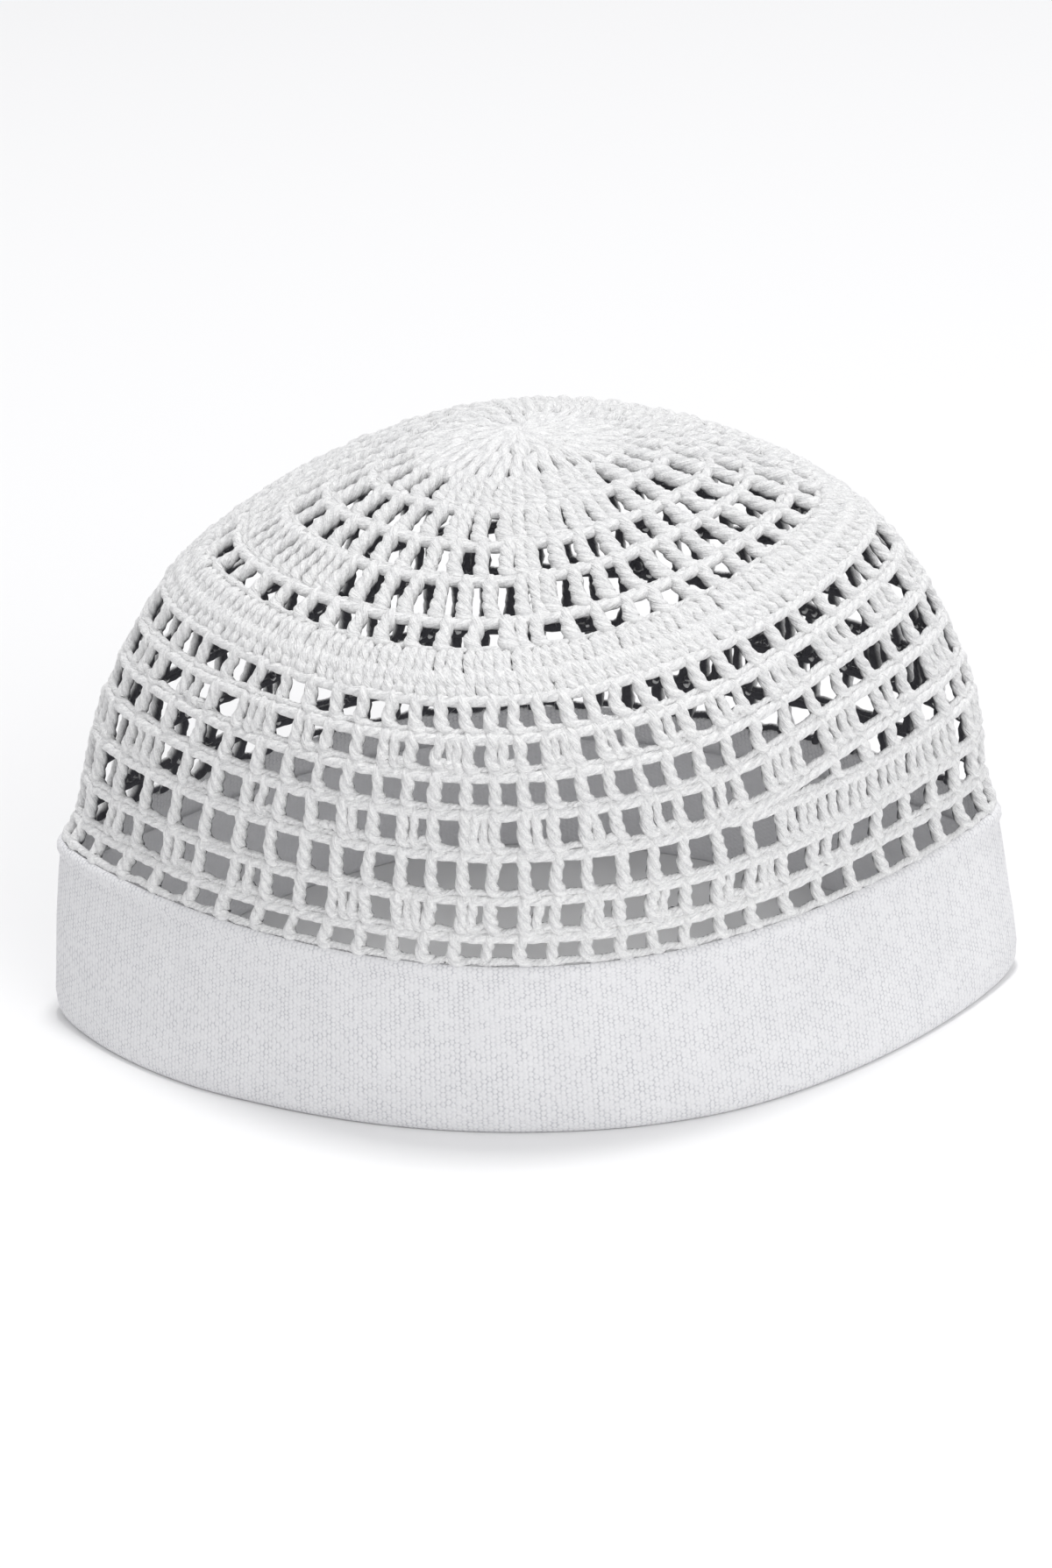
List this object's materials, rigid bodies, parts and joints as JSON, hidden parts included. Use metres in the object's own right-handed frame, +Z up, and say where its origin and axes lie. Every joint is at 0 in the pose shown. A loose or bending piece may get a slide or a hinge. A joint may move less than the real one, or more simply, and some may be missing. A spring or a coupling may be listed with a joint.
{
  "type": "crochet skull cap",
  "caption": "Soft domed skull cap: a crocheted net crown with a closed centre and one dense ring, sewn into a plain folded cloth band.",
  "frame": {"origin": "centre of the rim, on the surface that the cap lies on", "axes": "+X along the rim's longer way, to the right end seen from the front; -Y to the front; +Z up to the crown"},
  "size_m": [0.2138, 0.1678, 0.1231],
  "materials": {
    "cotton_yarn": "crocheted white cotton yarn, matt",
    "woven_cotton": "plain woven white cotton cloth, matt"
  },
  "bodies": {
    "root": {"crochet_crown": "cotton_yarn", "fabric_band": "woven_cotton"}
  },
  "joints": []
}
